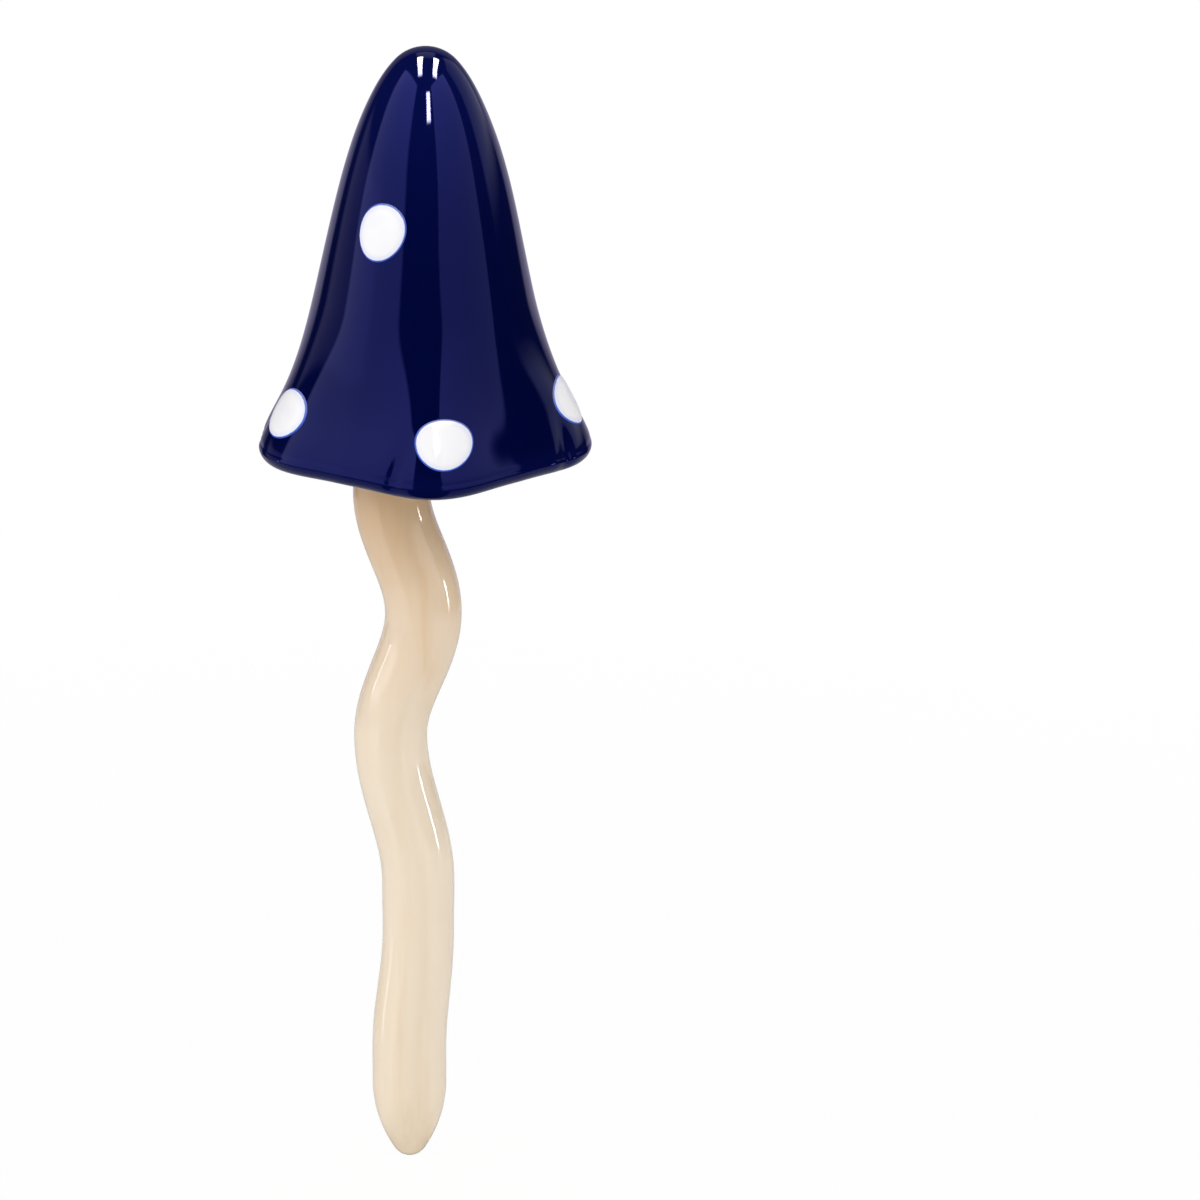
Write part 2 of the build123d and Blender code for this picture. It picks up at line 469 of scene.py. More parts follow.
@dataclass
class Skin:
    """A closed skin of rings between two poles, in millimetres."""

    name: str
    start: Array
    rings: Array
    end: Array

    def build(self) -> Object:
        """Makes the mesh object with smooth shading.

        Returns:
            The new object, linked to the scene.
        """
        rows, count, _ = self.rings.shape
        points = np.concatenate([[self.start], self.rings.reshape(-1, 3), [self.end]]) * MM
        step = np.arange(1, count + 1)
        after = np.roll(step, -1)
        here = np.arange(rows - 1)[:, None] * count
        below = here + count
        quads = np.stack([here + step, below + step, below + after, here + after], axis=-1)
        top = np.stack([0 * step, step, after], axis=-1)
        last = (rows - 1) * count
        bottom = np.stack([last + after, last + step, 0 * step + len(points) - 1], axis=-1)
        faces = top.tolist() + quads.reshape(-1, 4).tolist() + bottom.tolist()
        mesh = bpy.data.meshes.new(self.name)
        mesh.from_pydata(points.tolist(), [], faces)
        mesh.shade_smooth()
        piece = bpy.data.objects.new(self.name, mesh)
        bpy.context.scene.collection.objects.link(piece)
        return piece

    def carry(self, piece: Object, name: str, numbers: Array) -> None:
        """Stores a number on each vertex, the same all round a ring.

        Args:
            piece: the object that build made.
            name: the attribute's name.
            numbers: one number for each ring.
        """
        spread = np.repeat(numbers, self.rings.shape[1])
        full = np.concatenate([[spread[0]], spread, [spread[-1]]]).astype(np.float32)
        piece.data.attributes.new(name, "FLOAT", "POINT").data.foreach_set("value", full)

    def dress(self, piece: Object, outside: Material, inside: Material, turn: int) -> None:
        """Gives the skin one finish up to a ring and another beyond it.

        Args:
            piece: the object that build made.
            outside: finish of the first rings.
            inside: finish of the rest.
            turn: number of the ring where the finish changes.
        """
        _, count, _ = self.rings.shape
        piece.data.materials.append(outside)
        piece.data.materials.append(inside)
        numbers = np.arange(len(piece.data.polygons)) // count > turn
        piece.data.polygons.foreach_set("material_index", numbers.astype(np.int32))


def clamped_spline(knots: Array, values: Array, ends: Pair, where: Array) -> Array:
    """Cubic spline through points with given slopes at its two ends.

    Args:
        knots: rising parameters of the points.
        values: the points' values.
        ends: slope at the first and at the last point.
        where: parameters to read the spline at.

    Returns:
        The spline's values there.
    """
    gaps = np.diff(knots)
    slopes = np.concatenate([[ends[0]], np.diff(values) / gaps, [ends[1]]])
    beside = np.concatenate([[0], gaps, [0]])
    matrix = np.diag(2 * (beside[:-1] + beside[1:])) + np.diag(gaps, 1) + np.diag(gaps, -1)
    bend = np.linalg.solve(matrix, 6 * np.diff(slopes))
    low = np.clip(np.searchsorted(knots, where) - 1, 0, len(gaps) - 1)
    gap = gaps[low]
    left = where - knots[low]
    right = knots[low + 1] - where
    cubic = (bend[low] * right**3 + bend[low + 1] * left**3) / (6 * gap)
    start = (values[low] / gap - bend[low] * gap / 6) * right
    return cubic + start + (values[low + 1] / gap - bend[low + 1] * gap / 6) * left


@dataclass
class BellProfile:
    """Outer profile of the cap: a round crown that runs into a spline down to the rim.

    A station of the spline is a radius and a drop below the top, in millimetres.
    """

    dome_radius: float = 12.6
    dome_angle: float = 48.0
    stations: tuple[Pair, ...] = (
        (16.87, 16.4),
        (23.3, 34.25),
        (29.5, 61.2),
        (35.3, 88.4),
        (40.9, 106.7),
        (46.4, 119.0),
    )
    rim_angle: float = 19.0
    crown_samples: int = 150
    samples: int = 1500
    radius: Array = field(init=False)
    drop: Array = field(init=False)
    way: Array = field(init=False)

    def __post_init__(self) -> None:
        """Samples the profile finely by its length."""
        turn = math.radians(self.dome_angle)
        lean = math.radians(self.rim_angle)
        arc = np.linspace(0, turn, self.crown_samples)
        crown_radius = self.dome_radius * np.sin(arc)
        crown_drop = self.dome_radius * (1 - np.cos(arc))
        knots = np.array([(crown_radius[-1], crown_drop[-1]), *self.stations])
        chord = np.concatenate([[0], np.cumsum(np.hypot(*np.diff(knots, axis=0).T))])
        where = np.linspace(0, chord[-1], self.samples)[1:]
        flank_radius = clamped_spline(chord, knots[:, 0], (math.cos(turn), math.sin(lean)), where)
        flank_drop = clamped_spline(chord, knots[:, 1], (math.sin(turn), math.cos(lean)), where)
        self.radius = np.concatenate([crown_radius, flank_radius])
        self.drop = np.concatenate([crown_drop, flank_drop])
        self.way = np.concatenate([[0], np.cumsum(np.hypot(np.diff(self.radius), np.diff(self.drop)))])

    @property
    def length(self) -> float:
        """Length of the profile from the top to the rim."""
        return float(self.way[-1])

    @property
    def rim_drop(self) -> float:
        """How far the rim lies below the top."""
        return self.stations[-1][1]

    def point(self, way: Array) -> tuple[Array, Array]:
        """Radius and drop at a way down the profile."""
        return np.interp(way, self.way, self.radius), np.interp(way, self.way, self.drop)

    def normal(self, way: Array) -> tuple[Array, Array]:
        """Outward and upward parts of the outside normal.

        Args:
            way: ways down the profile from the top.

        Returns:
            The normal's outward part and its upward part.
        """
        outward = np.interp(way, self.way, np.gradient(self.drop, self.way))
        upward = np.interp(way, self.way, np.gradient(self.radius, self.way))
        size = np.hypot(outward, upward)
        return outward / size, upward / size


@dataclass(frozen=True)
class SpotPlace:
    """Where a raised spot sits and how large it is, in degrees and millimetres.

    Its share is that of the way down the skin, and its phase turns its uneven outline.
    """

    node: str
    azimuth: float
    share: float
    across: float
    down: float
    lean: float = 0.0
    phase: float = 0.0


@dataclass
class Cap:
    """Bell-shaped cap with folds, a rolled lip and raised spots, in millimetres and degrees.

    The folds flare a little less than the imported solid's, so that the smooth glaze keeps to its box.
    A root ring of a spot is a share of its reach and of its root's depth.
    A drip is a wave's size, its number in a round and its phase.
    """

    pivot_x: float
    pivot_z: float
    lean: float = 0.65
    profile: BellProfile = field(default_factory=BellProfile)
    wall: float = 4.2
    lip_thickness: float = 7.9
    lobes: int = 5
    lobe_turn: float = 5.0
    lobe_sharpness: float = 1.25
    lobe_flare: float = 4.52
    lobe_drop: float = 0.7
    fold_start: float = 75.0
    unevenness: float = 0.10
    waves: tuple[Wave, ...] = (Wave(2, 19), Wave(3, -13, 1.1), Wave(5, 8))
    calm_crown: float = 40.0
    crease_turn: float = -15.0
    crease_width: float = 3.4
    crease_depth: float = 0.9
    crease_length: float = 18.0
    crease_lean: float = 0.3
    groove_depth: float = 0.17
    groove_width: float = 0.9
    spots: tuple[SpotPlace, ...] = (
        SpotPlace("rim_spot_1", 8.8, 0.911, 16.5, 15.1, 0, 0.3),
        SpotPlace("rim_spot_2", 78.0, 0.892, 16.5, 15.1, 0, 1.7),
        SpotPlace("rim_spot_3", 150.0, 0.905, 16.5, 15.1, 0, 2.9),
        SpotPlace("rim_spot_4", -138.0, 0.907, 16.5, 15.1, 0, 4.1),
        SpotPlace("rim_spot_5", -64.6, 0.906, 16.5, 15.1, 0, 5.2),
        SpotPlace("crown_spot_1", -27.7, 0.454, 15.1, 18.2, 24, 0.9),
        SpotPlace("crown_spot_2", 152.0, 0.461, 15.1, 18.2, 24, 3.6),
    )
    spot_crown: float = 0.55
    spot_step: float = 0.5
    spot_power: int = 8
    spot_wobble: Pair = (0.018, 0.014)
    spot_root: float = 0.7
    spot_root_rings: tuple[Pair, ...] = ((1.0, 0.5), (0.9, 1.0), (0.5, 1.0))
    glaze_turn: float = 14.0
    drip_reach: float = 9.0
    drips: tuple[Triple, ...] = ((1.0, 7, 0), (0.6, 16, 40))
    lip_thin: float = 0.4
    lip_thin_reach: float = 3.0
    crown_thin_reach: float = 45.0
    ring_points: int = 360
    skin_rings: int = 165
    groove_rings: int = 18
    groove_reach: float = 4.0
    lip_rings: int = 56
    inner_rings: int = 90
    spot_points: int = 96
    spot_rings: int = 34
    spot_start: float = 0.04

    def folded(self, radius: Array, drop: Array, azimuth: Array, fold: Array) -> Array:
        """Turns points of the profile round the axis and moves them by the folds.

        Args:
            radius: distances from the axis.
            drop: distances below the top.
            azimuth: angles from the front, in degrees.
            fold: strength of the folds, from 0 to 1.

        Returns:
            Points in the part's frame.
        """
        swell = (1 + np.cos(np.radians(self.lobes * (azimuth - self.lobe_turn)))) / 2
        wave = fold * swell**self.lobe_sharpness
        reach = radius + self.lobe_flare * wave
        turn = np.radians(azimuth)
        level = self.profile.dome_radius - drop - self.lobe_drop * wave
        return self.leaned(reach * np.sin(turn), -reach * np.cos(turn), level)

    def leaned(self, across: Array, along: Array, level: Array) -> Array:
        """Points measured from the dome's centre, with the cap's lean and place.

        Args:
            across: distances to the right.
            along: distances to the back.
            level: heights.

        Returns:
            Points in the part's frame.
        """
        lean = math.radians(self.lean)
        right = self.pivot_x + across * math.cos(lean) + level * math.sin(lean)
        up = self.pivot_z - across * math.sin(lean) + level * math.cos(lean)
        return np.stack(np.broadcast_arrays(right, along, up), axis=-1)

    def fold_at(self, drop: Array) -> Array:
        """Strength of the folds at a drop below the top."""
        return smooth_step((drop - self.fold_start) / (self.profile.rim_drop - self.fold_start))

    def skin_point(self, azimuth: Array, way: Array, proud: Array) -> Array:
        """Points above the outer skin.

        Args:
            azimuth: angles from the front, in degrees.
            way: ways down the skin from the top.
            proud: heights above the skin.

        Returns:
            Points in the part's frame.
        """
        radius, drop = self.profile.point(way)
        outward, upward = self.profile.normal(way)
        return self.folded(radius + outward * proud, drop - upward * proud, azimuth, self.fold_at(drop))

    def relief(self, azimuth: Array, way: Array) -> Array:
        """Height of the glaze over the skin: a wobble, less the creases and the lip's groove.

        Args:
            azimuth: angles from the front, in degrees.
            way: ways down the skin from the top.

        Returns:
            Heights in millimetres.
        """
        wobble = self.unevenness * ripple(np.radians(azimuth), way, self.waves)
        height = wobble * smooth_step(way / self.calm_crown)
        return height - self.crease(azimuth, way) - self.groove(self.profile.length - way)

    def groove(self, distance: Array) -> Array:
        """Depth of the groove that sets off the lip, at a distance from the rim."""
        return self.groove_depth * hump(distance, self.groove_width)

    def crease(self, azimuth: Array, way: Array) -> Array:
        """Depth of the creases that run up from the rim, one beside each lobe.

        Args:
            azimuth: angles from the front, in degrees.
            way: ways down the skin from the top.

        Returns:
            Depths in millimetres.
        """
        period = 360 / self.lobes
        above = self.profile.length - way
        middle = self.lobe_turn + self.crease_turn + self.crease_lean * above
        beside = (azimuth - middle + period / 2) % period - period / 2
        near_rim = smooth_step(1 - above / self.crease_length)
        return self.crease_depth * near_rim * hump(beside, self.crease_width)

    def ring_ways(self) -> Array:
        """Ways down the skin to its rings, which lie closer beside the groove.

        Returns:
            The ways, from the top to the rim.
        """
        turn = self.profile.length - self.groove_reach
        upper = np.linspace(0, turn, self.skin_rings + 1)[1:]
        lower = np.linspace(turn, self.profile.length, self.groove_rings + 1)[1:]
        return np.concatenate([upper, lower])

    def lip(self, azimuth: Array) -> Array:
        """Rings round the rolled lip, from the rim to the inside.

        Args:
            azimuth: angles from the front, in degrees.

        Returns:
            Points in the part's frame.
        """
        rim = np.array([self.profile.length])
        rim_radius, rim_drop = self.profile.point(rim)
        outward, upward = self.profile.normal(rim)
        angle = np.linspace(0, math.pi, self.lip_rings)[1:-1, None]
        half = self.lip_thickness / 2
        radius = rim_radius + half * (outward * (np.cos(angle) - 1) + upward * np.sin(angle))
        drop = rim_drop - half * (upward * (np.cos(angle) - 1) - outward * np.sin(angle))
        sunk = self.crease(azimuth, rim) * (1 + np.cos(angle)) / 2 + self.groove(half * angle)
        return self.folded(radius - outward * sunk, drop + upward * sunk, azimuth, np.ones_like(sunk))

    def inside(self, azimuth: Array) -> Array:
        """Rings up the inside, which wander where the glaze ends in drips.

        Args:
            azimuth: angles from the front, in degrees.

        Returns:
            Points in the part's frame.
        """
        back = np.linspace(self.profile.length, 0, self.inner_rings, endpoint=False)[:, None]
        near = hump(self.profile.length - back - self.glaze_turn, self.drip_reach)
        runs = (size * np.sin(np.radians(azimuth * count + phase)) for size, count, phase in self.drips)
        way = back + near * sum(runs)
        radius, drop = self.profile.point(way)
        outward, upward = self.profile.normal(way)
        fold = self.fold_at(drop)
        wall = self.wall + (self.lip_thickness - self.wall) * fold
        return self.folded(radius - outward * wall, drop + upward * wall, azimuth, fold)

    def axis_point(self, level: float) -> Array:
        """A point on the cap's axis, at a height over the dome's centre."""
        return self.leaned(np.array(0.0), np.array(0.0), np.array(level))

    def skin(self) -> Skin:
        """Rings of the cap, from its top down the outside, round the lip and up the inside.

        Returns:
            The closed skin.
        """
        azimuth = np.linspace(0, 360, self.ring_points, endpoint=False)[None, :]
        way = self.ring_ways()[:, None]
        outside = self.skin_point(azimuth, way, self.relief(azimuth, way))
        rings = np.concatenate([outside, self.lip(azimuth), self.inside(azimuth)])
        crown = self.axis_point(self.profile.dome_radius)
        ceiling = self.axis_point(self.profile.dome_radius - self.wall)
        return Skin("cap_skin", crown, rings, ceiling)

    def thinness(self) -> Array:
        """Thin glaze on the roll of the lip and on the crown, ring by ring.

        Returns:
            0 where the glaze is deep and 1 where it is thin, for each ring.
        """
        way = self.ring_ways()
        near_rim = hump(self.profile.length - way, self.lip_thin_reach) * self.lip_thin
        outside = near_rim + hump(way, self.crown_thin_reach)
        return np.concatenate([outside, np.full(self.lip_rings - 2 + self.inner_rings, self.lip_thin)])

    def build(self, glaze: Material, biscuit: Material) -> Object:
        """Makes the cap, glazed outside and a little way up the inside.

        Args:
            glaze: finish of the outside.
            biscuit: finish of the inside.

        Returns:
            The cap's object.
        """
        skin = self.skin()
        piece = skin.build()
        skin.carry(piece, "thin", self.thinness())
        outer_rings = self.skin_rings + self.groove_rings + self.lip_rings - 2
        turn = outer_rings + round(self.inner_rings * self.glaze_turn / self.profile.length)
        skin.dress(piece, glaze, biscuit, turn)
        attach(piece, Body.CAP.value)
        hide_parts("cap")
        return piece

    def build_spot(self, spot: SpotPlace, glaze: Material) -> Object:
        """Makes one raised spot with a pillowed edge that roots in the cap's glaze.

        Args:
            spot: the spot's place and size.
            glaze: its finish.

        Returns:
            The spot's object.
        """
        angle = np.linspace(0, 2 * math.pi, self.spot_points, endpoint=False)[None, :]
        reach = np.sin(np.linspace(self.spot_start, math.pi / 2, self.spot_rings))[:, None]
        proud = self.spot_crown * (1 - reach**2) + self.spot_step * (1 - reach**self.spot_power) ** 0.5
        root_reach, root_share = np.array(self.spot_root_rings).T[:, :, None]
        reach = np.concatenate([reach, root_reach])
        proud = np.concatenate([proud, -self.spot_root * root_share])
        oval, corners = self.spot_wobble
        outline = 1 + oval * np.cos(2 * angle + spot.phase) + corners * np.cos(3 * angle - 2 * spot.phase)
        lean = math.radians(spot.lean)
        across = reach * outline * spot.across / 2 * np.cos(angle)
        along = reach * outline * spot.down / 2 * np.sin(angle)
        aside = across * math.cos(lean) + along * math.sin(lean)
        above = along * math.cos(lean) - across * math.sin(lean)
        middle_way = spot.share * self.profile.length
        way = middle_way - above
        azimuth = spot.azimuth + np.degrees(aside / self.profile.point(way)[0])
        rings = self.skin_point(azimuth, way, proud)
        middle = np.array(spot.azimuth), np.array(middle_way)
        crown = self.skin_point(*middle, np.array(self.spot_crown + self.spot_step))
        root = self.skin_point(*middle, np.array(-self.spot_root))
        skin = Skin(spot.node + "_glaze", crown, rings, root)
        piece = skin.build()
        skin.carry(piece, "reach", reach)
        piece.data.materials.append(glaze)
        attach(piece, Body.CAP.value)
        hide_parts(spot.node)
        return piece


@dataclass
class Stem:
    """Hollow wavy stem that ends in a blunt stake, in millimetres.

    A crest is its sideways share of the waves' reach, its share of the height to the head, and its girth.
    """

    head_x: float
    mouth: float
    tip: float
    diameter: float = 22.4
    stake_diameter: float = 22.4
    stake_length: float = 10.8
    wall: float = 4.2
    wave_reach: float = 5.0
    crests: tuple[Triple, ...] = (
        (0.59, 0.172, 0.965),
        (0.59, 0.245, 0.98),
        (-1.04, 0.459, 0.98),
        (0.98, 0.638, 1.027),
        (-0.9, 0.814, 1.03),
    )
    head_bottom: float = 220.0
    tip_flank_radius: float = 40.0
    tip_nose_radius: float = 5.5
    mouth_round: float = 1.2
    unevenness: float = 0.10
    waves: tuple[Wave, ...] = (Wave(2, 11), Wave(3, -17, 0.8), Wave(1, 7))
    ring_points: int = 120
    ring_step: float = 1.4
    bore_step: float = 2.8
    nose_rings: int = 14
    flank_rings: int = 24
    straight_rings: int = 8
    mouth_rings: int = 8

    def line(self, height: Array) -> tuple[Array, Array, Array]:
        """Middle line of the rod.

        Args:
            height: heights above the soil line.

        Returns:
            The line's X, its slope and the rod's radius at each height.
        """
        low_end = (0.0, 0.0, self.stake_diameter / self.diameter)
        bends = np.array(self.crests) * (self.wave_reach, self.head_bottom, 1.0)
        head = [(self.head_x, self.head_bottom, 1.0), (self.head_x, self.mouth, 1.0)]
        crests = np.array([low_end, *bends, *head])
        place = np.clip(np.searchsorted(crests[:, 1], height, side="right") - 1, 0, len(crests) - 2)
        low = crests[place]
        high = crests[place + 1]
        rise = high[..., 1] - low[..., 1]
        share = np.clip((height - low[..., 1]) / rise, 0, 1)
        ease = (1 - np.cos(math.pi * share)) / 2
        across = low[..., 0] + (high[..., 0] - low[..., 0]) * ease
        slope = math.pi / 2 * np.sin(math.pi * share) * (high[..., 0] - low[..., 0]) / rise
        radius = self.diameter / 2 * (low[..., 2] + (high[..., 2] - low[..., 2]) * ease)
        return across, slope, radius

    def rings(self, height: Array, radius: Array, uneven: float) -> Array:
        """Rings across the middle line.

        Args:
            height: height of each ring.
            radius: radius of each ring.
            uneven: height of the ripple on the rings.

        Returns:
            Points in the part's frame, ring by ring.
        """
        angle = np.linspace(0, 2 * math.pi, self.ring_points, endpoint=False)[None, :]
        across, slope, _ = self.line(height)
        lean = np.arctan(slope)[:, None]
        level = height[:, None]
        reach = radius[:, None] + uneven * ripple(angle, level, self.waves)
        points = [
            across[:, None] + reach * np.cos(angle) * np.cos(lean),
            -reach * np.sin(angle),
            level - reach * np.cos(angle) * np.sin(lean),
        ]
        return np.stack(points, axis=-1)

    def stake(self) -> tuple[Array, Array]:
        """Profile of the stake from its nose up to the soil line.

        Returns:
            Heights and radii.
        """
        top = -self.stake_length
        radius = self.stake_diameter / 2
        flank_centre = radius - self.tip_flank_radius
        nose_drop = math.sqrt((self.tip_flank_radius - self.tip_nose_radius) ** 2 - flank_centre**2)
        turn = math.atan2(nose_drop, -flank_centre)
        nose = np.linspace(math.pi / 2, turn, self.nose_rings)[1:]
        flank = np.linspace(turn, 0, self.flank_rings)[1:]
        straight = np.linspace(top, 0, self.straight_rings)[1:-1]
        heights = [
            top - nose_drop - self.tip_nose_radius * np.sin(nose),
            top - self.tip_flank_radius * np.sin(flank),
            straight,
        ]
        radii = [
            self.tip_nose_radius * np.cos(nose),
            flank_centre + self.tip_flank_radius * np.cos(flank),
            np.full_like(straight, radius),
        ]
        return np.concatenate(heights), np.concatenate(radii)

    def build(self, glaze: Material, biscuit: Material) -> Object:
        """Makes the stem, glazed outside, with a bare mouth and bore.

        Args:
            glaze: finish of the outside.
            biscuit: finish of the mouth and the bore.

        Returns:
            The stem's object.
        """
        stake_height, stake_radius = self.stake()
        height = np.arange(0, self.mouth - self.mouth_round, self.ring_step)
        rod = self.rings(height, self.line(height)[2], self.unevenness)
        stake = self.rings(stake_height, stake_radius, 0.0)
        turn = np.linspace(0, math.pi / 2, self.mouth_rings)
        round_height = self.mouth - self.mouth_round * (1 - np.sin(turn))
        round_radius = self.diameter / 2 - self.mouth_round * (1 - np.cos(turn))
        mouth = self.rings(round_height, round_radius, 0.0)
        inner_height = np.arange(self.mouth, 0, -self.bore_step)
        bore = self.rings(inner_height, self.line(inner_height)[2] - self.wall, 0.0)
        start = np.array([0, 0, self.tip])
        end = np.array([0, 0, -self.stake_length])
        skin = Skin("stem_skin", start, np.concatenate([stake, rod, mouth, bore]), end)
        piece = skin.build()
        skin.dress(piece, glaze, biscuit, len(stake) + len(rod) + len(mouth) // 2)
        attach(piece, Body.STEM.value)
        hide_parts("stem")
        return piece


def dress_node(node: Object, finish: Material) -> None:
    """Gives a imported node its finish; its shape stays."""
    node.data.materials.clear()
    node.data.materials.append(finish)


# Studio


LAMP_AIM = Vector((0.006, 0.0, 0.22))
WARM_TUBE = {"only_gloss": True, "colour": (1.0, 0.9, 0.32)}


class Facing(Enum):
    """Which way a lamp looks."""

    OBJECT = "object"
    LEVEL = "level"
    DOWN = "down"


@dataclass(frozen=True)
class Panel:
    """A flat studio lamp with soft edges, in metres; its roll and its cone of light are in degrees.

    The top gain is how much brighter its top is than its foot, as a share of its mean radiance.
    """

    name: str
    place: Triple
    width: float
    height: float
    radiance: float
    facing: Facing = Facing.OBJECT
    roll: float = 0.0
    soft_edge: float = 0.12
    spread: float = 180.0
    top_gain: float = 0.0
    only_gloss: bool = False
    colour: Colour = (1.0, 1.0, 1.0)

    def backward(self) -> Vector:
        """The way from what the lamp faces to the lamp.

        Returns:
            A vector along the lamp's own Z axis.
        """
        if self.facing is Facing.DOWN:
            return Vector((0, 0, 1))
        away = Vector(self.place) - LAMP_AIM
        if self.facing is Facing.LEVEL:
            away.z = 0
        return away

    def soften(self, light: AreaLight) -> None:
        """Fades the lamp towards its four edges and towards its foot.

        Args:
            light: the lamp's data.
        """
        light.use_nodes = True
        paint = Paint(light.node_tree)
        across, along, _ = paint.axes(paint.add("ShaderNodeNewGeometry").outputs["Parametric"])
        sides = across.step(0, self.soft_edge) * (1 - across).step(0, self.soft_edge)
        ends = along.step(0, self.soft_edge) * (1 - along).step(0, self.soft_edge)
        gain = 1 + (along - 0.5) * self.top_gain
        paint.feed(light.node_tree.nodes["Emission"].inputs["Strength"], sides * ends * gain)

    def build(self) -> None:
        """Makes the lamp."""
        light = bpy.data.lights.new(self.name, "AREA")
        light.shape = "RECTANGLE"
        light.size = self.width
        light.size_y = self.height
        light.spread = math.radians(self.spread)
        light.color = self.colour
        light.energy = self.radiance * math.pi * self.width * self.height
        self.soften(light)
        lamp = bpy.data.objects.new(self.name, light)
        lamp.location = self.place
        lamp.rotation_mode = "QUATERNION"
        roll = Quaternion((0, 0, 1), math.radians(self.roll))
        lamp.rotation_quaternion = self.backward().to_track_quat("Z", "Y") @ roll
        lamp.visible_camera = False
        lamp.visible_diffuse = not self.only_gloss
        bpy.context.scene.collection.objects.link(lamp)


@dataclass
class Studio:
    """Camera, lamps, pale floor and white surroundings, in metres and degrees."""

    floor_level: float
    target: Triple = (0.0579, 0.0, 0.1441)
    elevation: float = 20.0
    distance: float = 4.0
    lens: float = 400.0
    sensor: float = 36.0
    clip_end: float = 50.0
    panels: tuple[Panel, ...] = (
        Panel(
            "softbox_left", (-0.93, -0.58, 0.87), 1.50, 1.80, 2.05, Facing.LEVEL, 4,
            soft_edge=0.08, top_gain=1.0,
        ),
        Panel(
            "softbox_right", (0.81, -0.75, 0.86), 1.25, 1.78, 1.75, Facing.LEVEL,
            soft_edge=0.05, top_gain=1.3,
        ),
        Panel("softbox_rear_right", (0.97, 0.52, 0.83), 1.05, 1.30, 0.7, Facing.LEVEL),
        Panel("softbox_rear_top", (0.006, 0.62, 1.30), 0.70, 0.60, 0.7),
        Panel("strip_overhead_left", (-0.24, -0.05, 1.4), 0.24, 1.2, 160, Facing.DOWN, -4, **WARM_TUBE),
        Panel("strip_overhead_right", (0.47, -0.05, 1.4), 0.26, 1.2, 160, Facing.DOWN, 4, **WARM_TUBE),
        Panel("strip_front", (0.09585, -0.60849, 0.75469), 0.105, 0.245, 160, **WARM_TUBE),
        Panel(
            "strip_low_right", (0.454, -0.047, 0.065), 0.04, 0.15, 0.8, Facing.LEVEL,
            spread=32, only_gloss=True,
        ),
        Panel("strip_low_left", (-0.458, 0.005, 0.125), 0.02, 0.06, 7, Facing.LEVEL, only_gloss=True),
        Panel(
            "strip_base_left", (-0.083, -0.002, -0.006), 0.012, 0.034, 0.3, Facing.LEVEL,
            spread=60, only_gloss=True,
        ),
    )
    ambient: float = 0.34
    dark_room: float = 0.015
    room_tint: Colour = (1.0, 0.92, 1.25)
    rear_glow: float = 0.20
    rear_edge: Pair = (0.70, 0.78)
    ground_glow: float = 0.25
    ground_edge: Pair = (0.0, 0.2)
    left_glow: float = 0.35
    left_edge: Pair = (0.80, 0.88)
    left_top: Pair = (0.08, 0.16)
    floor_radius: float = 0.60
    floor_points: int = 96
    floor_colour: Colour = (0.92, 0.92, 0.92)
    floor_roughness: float = 0.9
    floor_white: float = 0.96
    floor_fade: Pair = (0.20, 0.58)
    floor_dim: float = 0.8
    floor_gap: Pair = (0.73, 0.55)
    floor_gap_edge: Pair = (0.0, 0.03)

    def aim_camera(self) -> None:
        """Puts the camera at the viewing angle, straight at its target."""
        data = bpy.data.cameras.new("camera")
        data.lens = self.lens
        data.sensor_width = self.sensor
        data.clip_end = self.clip_end
        camera = bpy.data.objects.new("camera", data)
        rise = math.radians(self.elevation)
        back = Vector((0, -math.cos(rise), math.sin(rise)))
        camera.location = Vector(self.target) + back * self.distance
        camera.rotation_mode = "QUATERNION"
        camera.rotation_quaternion = (-back).to_track_quat("-Z", "Y")
        bpy.context.scene.collection.objects.link(camera)
        bpy.context.scene.camera = camera

    def floor_material(self) -> Material:
        """Pale floor that fades to white for the camera and has a dark gap in front for the gloss.

        Returns:
            The new material.
        """
        material = bpy.data.materials.new("pale_floor")
        material.use_nodes = True
        paint = Paint(material.node_tree)
        shader = material.node_tree.nodes["Principled BSDF"]
        paint.feed(shader.inputs["Base Color"], self.floor_colour)
        paint.feed(shader.inputs["Roughness"], self.floor_roughness)
        paint.feed(shader.inputs["Specular IOR Level"], 0.0)
        white = paint.add("ShaderNodeEmission", None, {"Color": (1, 1, 1), "Strength": 1.0})
        dark = paint.add("ShaderNodeEmission", None, {"Color": (1, 1, 1), "Strength": 0.0})
        place = paint.place()
        right, back, _ = paint.axes(place)
        front = 0 - back
        gap_left, gap_right = self.floor_gap
        lit_left = (0 - right - front * gap_left).step(*self.floor_gap_edge)
        lit_right = (right - front * gap_right).step(*self.floor_gap_edge)
        unlit = 1 - paint.math("MAXIMUM", lit_left, lit_right) * self.floor_dim
        inputs = {0: paint.ray("Glossy") * unlit, 1: shader.outputs[0], 2: dark.outputs[0]}
        shading = paint.add("ShaderNodeMixShader", None, inputs)
        length = paint.add("ShaderNodeVectorMath", {"operation": "LENGTH"}, {0: place})
        away = Value(paint, length.outputs["Value"])
        whiteness = self.floor_white + away.step(*self.floor_fade) * (1 - self.floor_white)
        inputs = {0: paint.ray("Camera") * whiteness, 1: shading.outputs[0], 2: white.outputs[0]}
        mixed = paint.add("ShaderNodeMixShader", None, inputs)
        paint.feed(material.node_tree.nodes["Material Output"].inputs["Surface"], mixed.outputs[0])
        return material

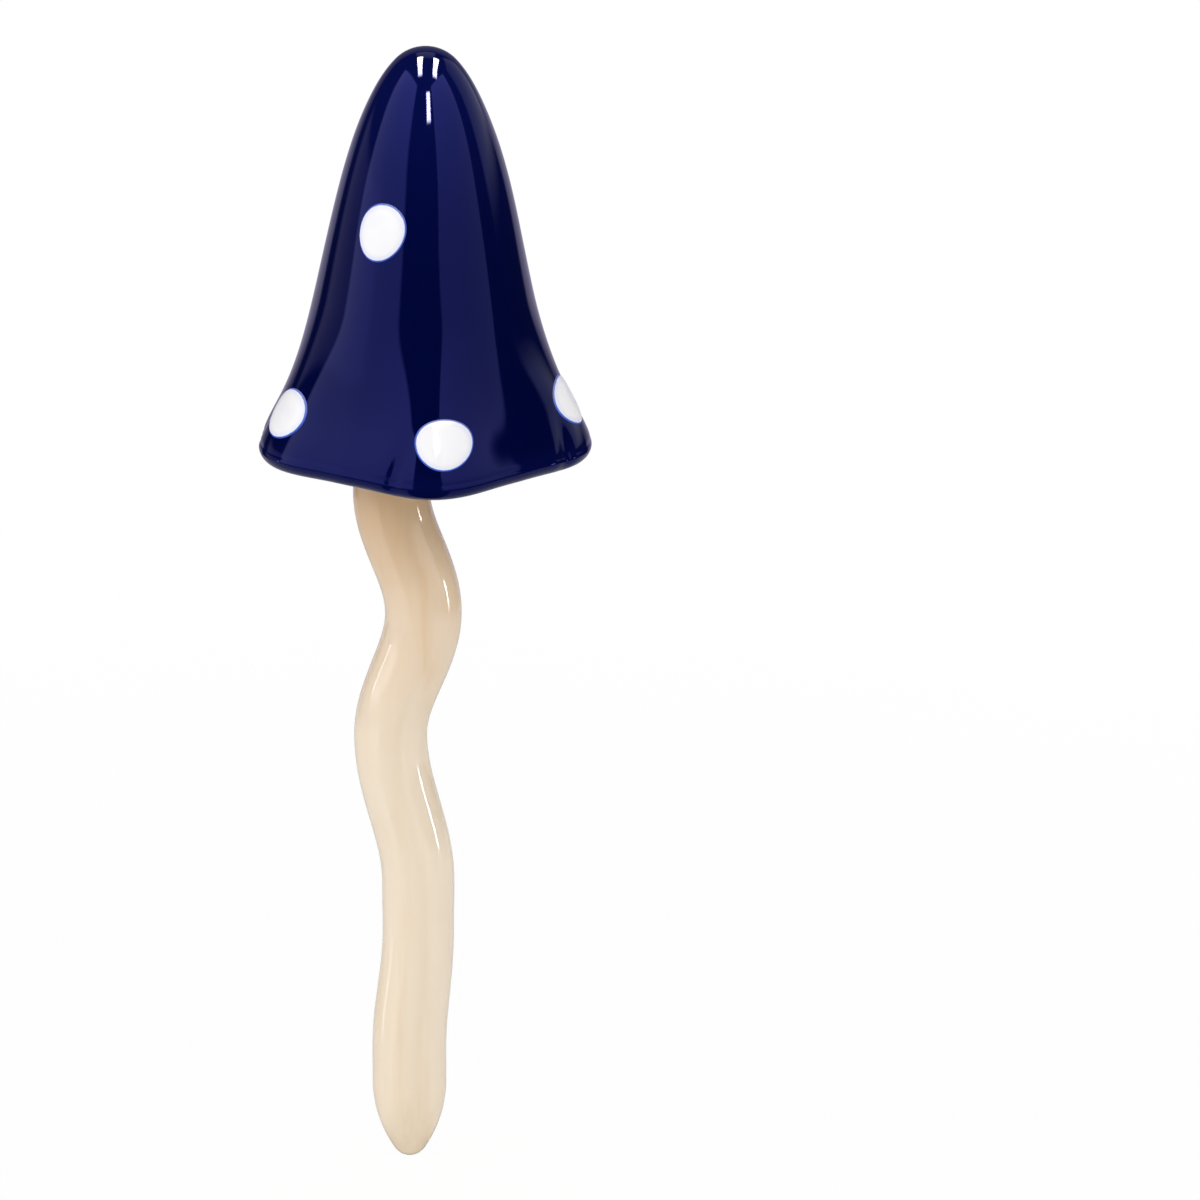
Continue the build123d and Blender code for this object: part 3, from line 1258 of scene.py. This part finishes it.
    def lay_floor(self) -> None:
        """Lays the floor, a round sheet that keeps the shadow."""
        turns = np.linspace(0, 2 * math.pi, self.floor_points, endpoint=False)
        edge = np.stack([np.cos(turns), np.sin(turns), np.zeros_like(turns)], axis=-1) * self.floor_radius
        mesh = bpy.data.meshes.new("floor")
        mesh.from_pydata(edge.tolist(), [], [range(len(edge))])
        mesh.materials.append(self.floor_material())
        floor = bpy.data.objects.new("floor", mesh)
        floor.location = (0, 0, self.floor_level)
        bpy.context.scene.collection.objects.link(floor)

    def surround(self) -> None:
        """White surroundings for the camera, a dim room with two glows in the gloss, and soft fill."""
        world = bpy.data.worlds.new("studio")
        world.use_nodes = True
        bpy.context.scene.world = world
        paint = Paint(world.node_tree)
        camera = paint.ray("Camera")
        gloss = paint.ray("Glossy")
        through = paint.ray("Transmission")
        rightward, rearward, upward = paint.axes(paint.add("ShaderNodeTexCoord").outputs["Generated"])
        rear_level = self.rear_glow + (0 - upward).step(*self.ground_edge) * self.ground_glow
        rear = rearward.step(*self.rear_edge) * rear_level
        left = (0 - rightward).step(*self.left_edge) * (1 - upward.step(*self.left_top)) * self.left_glow
        other = 1 - camera - gloss - through
        level = camera + through + gloss * (self.dark_room + rear + left) + other * self.ambient
        paint.feed(world.node_tree.nodes["Background"].inputs["Strength"], level)
        tint = paint.mix(gloss, (1, 1, 1), self.room_tint)
        paint.feed(world.node_tree.nodes["Background"].inputs["Color"], tint)

    def build(self) -> None:
        """Makes the camera, the lamps, the floor and the surroundings."""
        self.aim_camera()
        for panel in self.panels:
            panel.build()
        self.lay_floor()
        self.surround()
        bpy.context.scene.view_settings.view_transform = "Standard"


def joint_place(joints: Sequence[Mapping[str, Any]], name: str) -> Sequence[float]:
    """Place of a joint in the frame, in metres."""
    return next(joint["pos_m"] for joint in joints if joint["name"] == name)


def main() -> None:
    """Loads the frame, dresses the part and sets up the studio."""
    logging.basicConfig(level=logging.INFO, format="%(message)s")
    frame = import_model()
    pivot_x, _, pivot_z = (number / MM for number in joint_place(frame["joints"], "cap_turn"))
    cobalt = CobaltGlaze().material()
    white = SpotGlaze().material()
    cream = CreamGlaze().material()
    biscuit = Biscuit().material()
    rubber = SoftRubber().material()

    stem_low, stem_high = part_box("stem")
    stem = Stem(head_x=pivot_x, mouth=stem_high.z / MM, tip=stem_low.z / MM)
    log.info("built %s", stem.build(cream, biscuit).name)
    dress_node(frame["nodes"]["seat_plug"], biscuit)
    dress_node(frame["nodes"]["seat_washer"], rubber)
    log.info("dressed the seat's plug and washer")
    cap = Cap(pivot_x=pivot_x, pivot_z=pivot_z)
    log.info("built %s", cap.build(cobalt, biscuit).name)
    for spot in cap.spots:
        log.info("built %s", cap.build_spot(spot, white).name)
    Studio(floor_level=stem_low.z).build()
    log.info("set up the studio")


if __name__ == "__main__":
    main()
